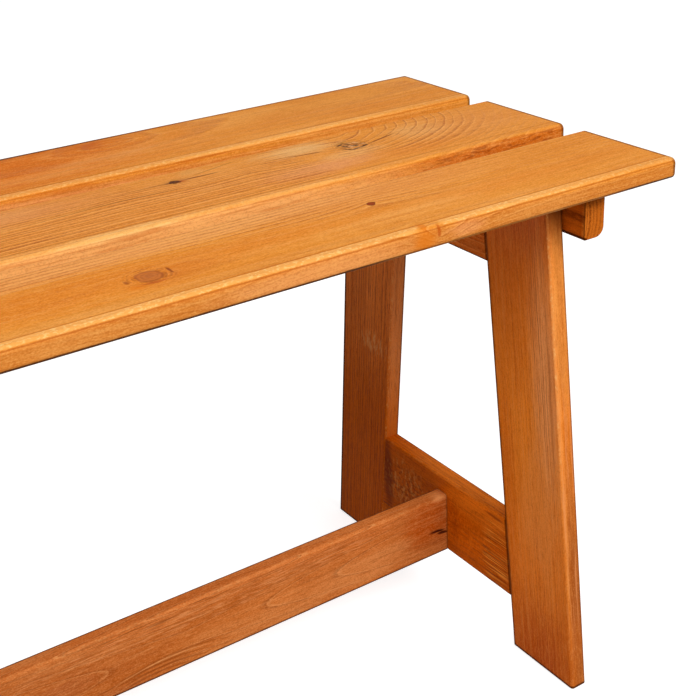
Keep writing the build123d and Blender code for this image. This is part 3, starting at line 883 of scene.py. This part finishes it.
    shader = newNode(tree, "BsdfPrincipled")
    feed(tree, shader.inputs["Base Color"], color)
    feed(tree, shader.inputs["Roughness"], roughness)
    feed(tree, shader.inputs["Normal"], bump.outputs[0])
    shader.inputs["Specular IOR Level"].default_value = varnish["specular"]
    tree.links.new(shader.outputs[0], newNode(tree, "OutputMaterial").inputs[0])
    return material


def boardFor(node):
    # The stretcher's screws take the stretcher's finish
    for name, board in boards.items():
        if node == name or (node.startswith(name + "_") and "dowels" not in node):
            return {**plainBoard, **board}
    return None


def paint(node, material):
    mesh = bpy.data.objects[node].data
    for index in range(len(mesh.materials)):
        mesh.materials[index] = material
    if not mesh.materials:
        mesh.materials.append(material)


def plainMaterial(name, color, roughness, metallic):
    material = bpy.data.materials.new(name)
    material.use_nodes = True
    shader = material.node_tree.nodes["Principled BSDF"]
    shader.inputs["Base Color"].default_value = color
    shader.inputs["Roughness"].default_value = roughness
    shader.inputs["Metallic"].default_value = metallic
    return material


screwSteel = plainMaterial("screw_steel", srgb(196, 186, 160), roughness=0.35, metallic=1.0)
dowelBeech = plainMaterial("dowel_beech", srgb(200, 160, 112), roughness=0.6, metallic=0.0)
shift = 0.0
for node in sorted(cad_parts):
    board = boardFor(node)
    shift += treeStep
    if board is not None:
        paint(node, boardMaterial(node, board, shift))
    elif "screws" in node:
        paint(node, screwSteel)
    else:
        paint(node, dowelBeech)
print("Boards and screws finished")


# Studio: pale floor, soft light, white surroundings

white = (1.0, 1.0, 1.0, 1.0)
studio = dict(
    floorSize=30.0, floorColor=srgb(190, 190, 190), floorSeen=srgb(215, 215, 215), floorLift=0.72,
    roomStrength=0.41, aim=(0.3, 0.0, 0.25),
)
lamps = [
    dict(name="key", at=(0.9, -2.1, 2.0), size=1.4, power=39.0),
    dict(name="fill", at=(-1.0, -1.4, 2.3), size=1.4, power=26.0),
]


def seenDirectly(tree):
    # 1 for the camera and for what shows in a reflection or through glass, 0 for light that falls on wood
    light = newNode(tree, "LightPath")
    seen = calc(tree, "MAXIMUM", light.outputs["Is Camera Ray"], light.outputs["Is Glossy Ray"])
    return calc(tree, "MAXIMUM", seen, light.outputs["Is Transmission Ray"])


def makeFloor():
    half = studio["floorSize"] / 2
    mesh = bpy.data.meshes.new("floor")
    corners = [(-half, -half, 0), (half, -half, 0), (half, half, 0), (-half, half, 0)]
    mesh.from_pydata(corners, [], [(0, 1, 2, 3)])
    floor = bpy.data.objects.new("floor", mesh)
    floor.location.z = cadBox[0][2]
    bpy.context.collection.objects.link(floor)
    material = bpy.data.materials.new("floor_paper")
    tree = emptyTree(material)
    seen = seenDirectly(tree)
    paper = newNode(tree, "BsdfDiffuse")
    feed(tree, paper.inputs["Color"], blend(tree, seen, studio["floorColor"], studio["floorSeen"]))
    glow = newNode(tree, "Emission")
    glow.inputs["Color"].default_value = white
    feed(tree, glow.inputs["Strength"], times(tree, seen, studio["floorLift"]))
    both = newNode(tree, "AddShader")
    tree.links.new(paper.outputs[0], both.inputs[0])
    tree.links.new(glow.outputs[0], both.inputs[1])
    tree.links.new(both.outputs[0], newNode(tree, "OutputMaterial").inputs[0])
    mesh.materials.append(material)


def makeWorld():
    world = bpy.data.worlds.new("studio")
    bpy.context.scene.world = world
    tree = emptyTree(world)
    mix = newNode(tree, "MixShader")
    feed(tree, mix.inputs[0], seenDirectly(tree))
    for index, strength in ((1, studio["roomStrength"]), (2, 1.0)):
        room = newNode(tree, "Background")
        room.inputs["Color"].default_value = white
        room.inputs["Strength"].default_value = strength
        tree.links.new(room.outputs[0], mix.inputs[index])
    tree.links.new(mix.outputs[0], newNode(tree, "OutputWorld").inputs[0])


def makeLamp(lamp):
    data = bpy.data.lights.new(lamp["name"], "AREA")
    data.shape = "DISK"
    data.size = lamp["size"]
    data.energy = lamp["power"]
    holder = bpy.data.objects.new(lamp["name"], data)
    holder.location = lamp["at"]
    toward = Vector(studio["aim"]) - holder.location
    holder.rotation_euler = toward.to_track_quat("-Z", "Y").to_euler()
    bpy.context.collection.objects.link(holder)


makeFloor()
makeWorld()
for lamp in lamps:
    makeLamp(lamp)
print("Studio lit")


# Camera: where the photographer stood, in metres and degrees

view = dict(
    eye=(-0.1031, -0.8066, 0.7438), heading=55.99, down=25.62, roll=2.18, lens=66.62, sensor=36.0,
    shiftX=-0.0402, nearest=0.02, farthest=100.0,
)


def makeCamera():
    data = bpy.data.cameras.new("camera")
    camera = bpy.data.objects.new("camera", data)
    bpy.context.collection.objects.link(camera)
    heading, down = math.radians(view["heading"]), math.radians(view["down"])
    look = Vector((math.cos(down) * math.cos(heading), math.cos(down) * math.sin(heading), -math.sin(down)))
    tilt = Quaternion((0, 0, 1), -math.radians(view["roll"]))
    camera.rotation_mode = "QUATERNION"
    camera.rotation_quaternion = look.to_track_quat("-Z", "Y") @ tilt
    camera.location = view["eye"]
    data.sensor_width = view["sensor"]
    data.lens = view["lens"]
    data.shift_x = view["shiftX"]
    data.clip_start = view["nearest"]
    data.clip_end = view["farthest"]
    bpy.context.scene.camera = camera


makeCamera()
bpy.context.scene.view_settings.view_transform = "Standard"
print("Camera set")
